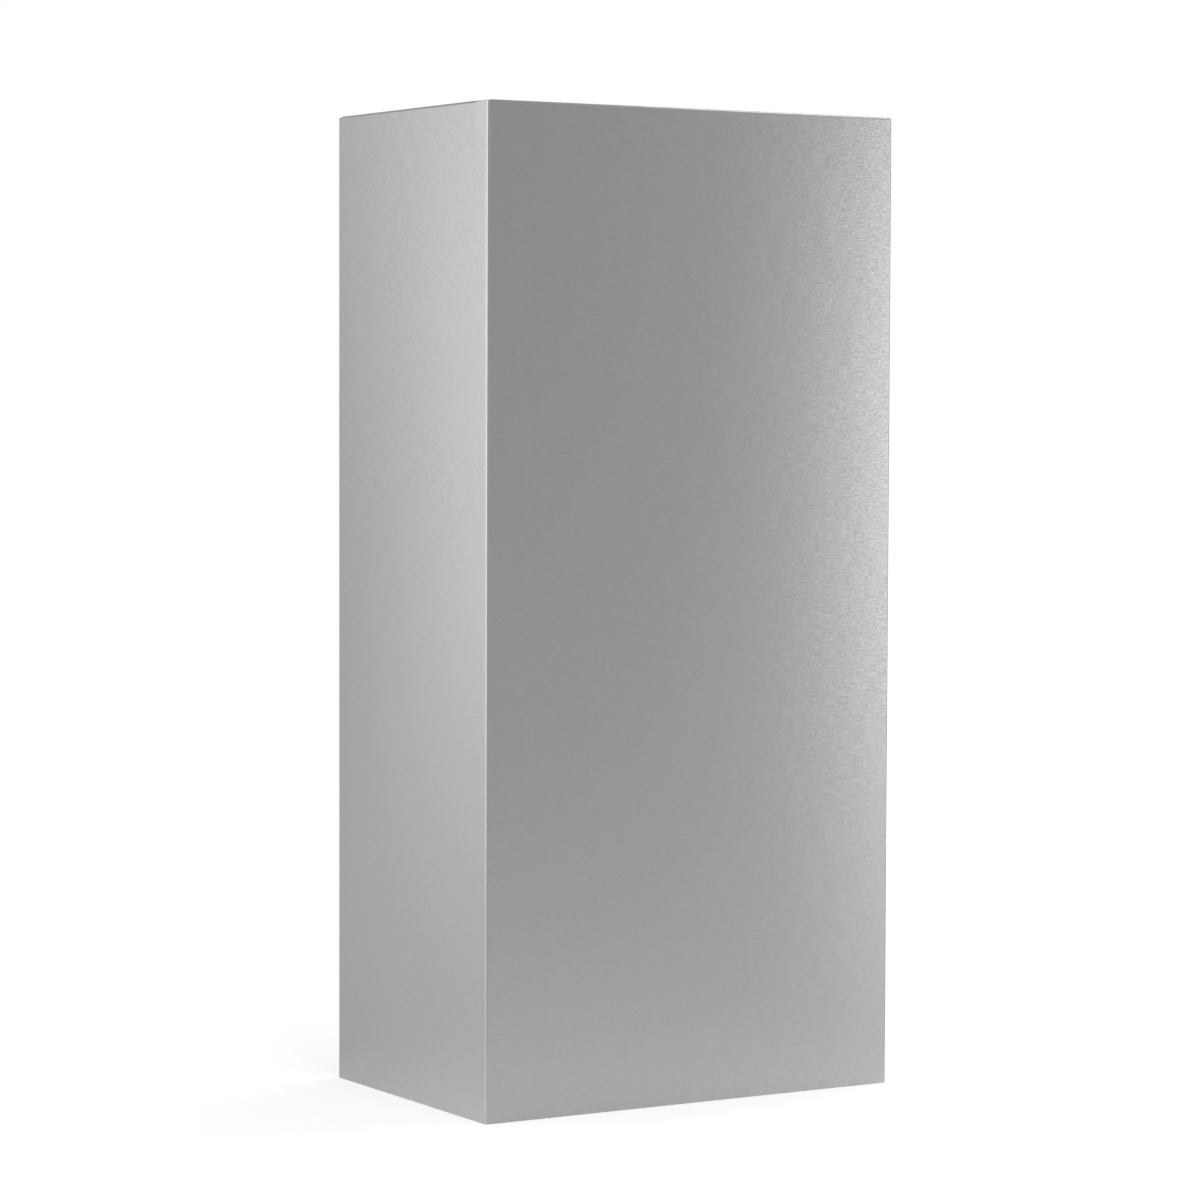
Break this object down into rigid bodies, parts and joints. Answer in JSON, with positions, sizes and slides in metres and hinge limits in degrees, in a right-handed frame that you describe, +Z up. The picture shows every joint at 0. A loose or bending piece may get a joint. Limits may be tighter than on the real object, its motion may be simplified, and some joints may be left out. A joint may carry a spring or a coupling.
{
  "type": "cooker hood chimney section",
  "caption": "Folded brushed stainless chimney section for a wall-mounted cooker hood: a U-shaped cover, open towards the wall, with wall lips and inward flanges along its top edge.",
  "frame": {"origin": "middle of the outline, at the bottom edge", "axes": "+Z up the chimney, +Y towards the wall, so the front faces -Y and +X is the right-hand side seen from the front"},
  "size_m": [0.3, 0.196, 0.627],
  "materials": {
    "stainless_sheet": "fine horizontal brushed grain on the outside, plain mill finish on the inside"
  },
  "bodies": {
    "root": {"chimney_shell": "stainless_sheet"}
  },
  "joints": []
}
